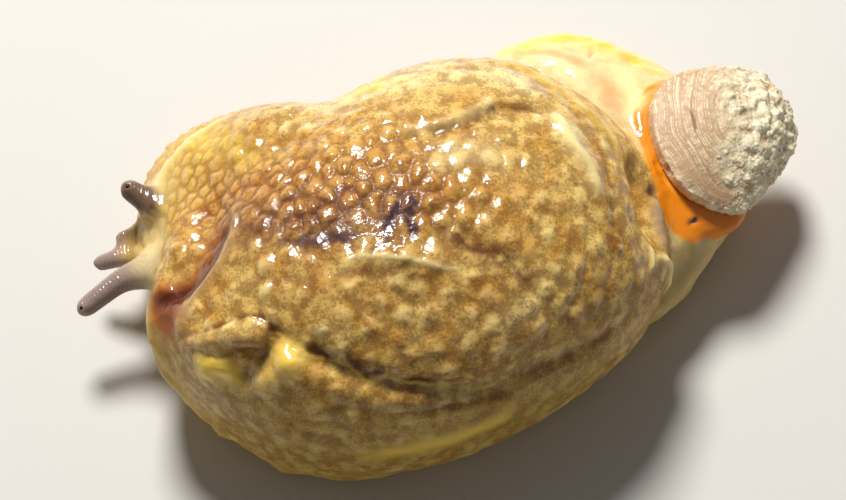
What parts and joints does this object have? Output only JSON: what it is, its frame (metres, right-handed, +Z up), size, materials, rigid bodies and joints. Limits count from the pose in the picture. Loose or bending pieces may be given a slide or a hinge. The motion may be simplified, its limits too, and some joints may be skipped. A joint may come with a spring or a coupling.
{
  "type": "shelled slug",
  "caption": "Life-size model of a shelled slug drawn together on its sole, feelers out, with a small ear-shaped shell on the tip of its tail.",
  "frame": {"origin": "on the floor plane, in the middle of the sole, below the middle of the body", "axes": "+X along the body from the head to the tail and its shell, +Y to the animal's right, +Z up"},
  "size_m": [0.0374, 0.026, 0.0142],
  "materials": {
    "body_skin": "wet skin, mottled tan and brown",
    "head_skin": "wet skin, creamy yellow",
    "foot_skin": "wet skin, pale yellow",
    "mantle_skin": "wet skin, clear orange",
    "feeler_skin": "wet skin, grey brown",
    "eye_bead": "black, polished",
    "shell_plate": "dull and chalky, with growth lines"
  },
  "bodies": {
    "root": {"foot": "foot_skin", "torso": "body_skin", "neck": "body_skin", "head": "head_skin", "tail": "head_skin", "mantle": "mantle_skin", "shell": "shell_plate", "upper_feeler_left": "feeler_skin", "upper_feeler_right": "feeler_skin", "lower_feeler_left": "feeler_skin", "lower_feeler_right": "feeler_skin", "eye_left": "eye_bead", "eye_right": "eye_bead"}
  },
  "joints": []
}
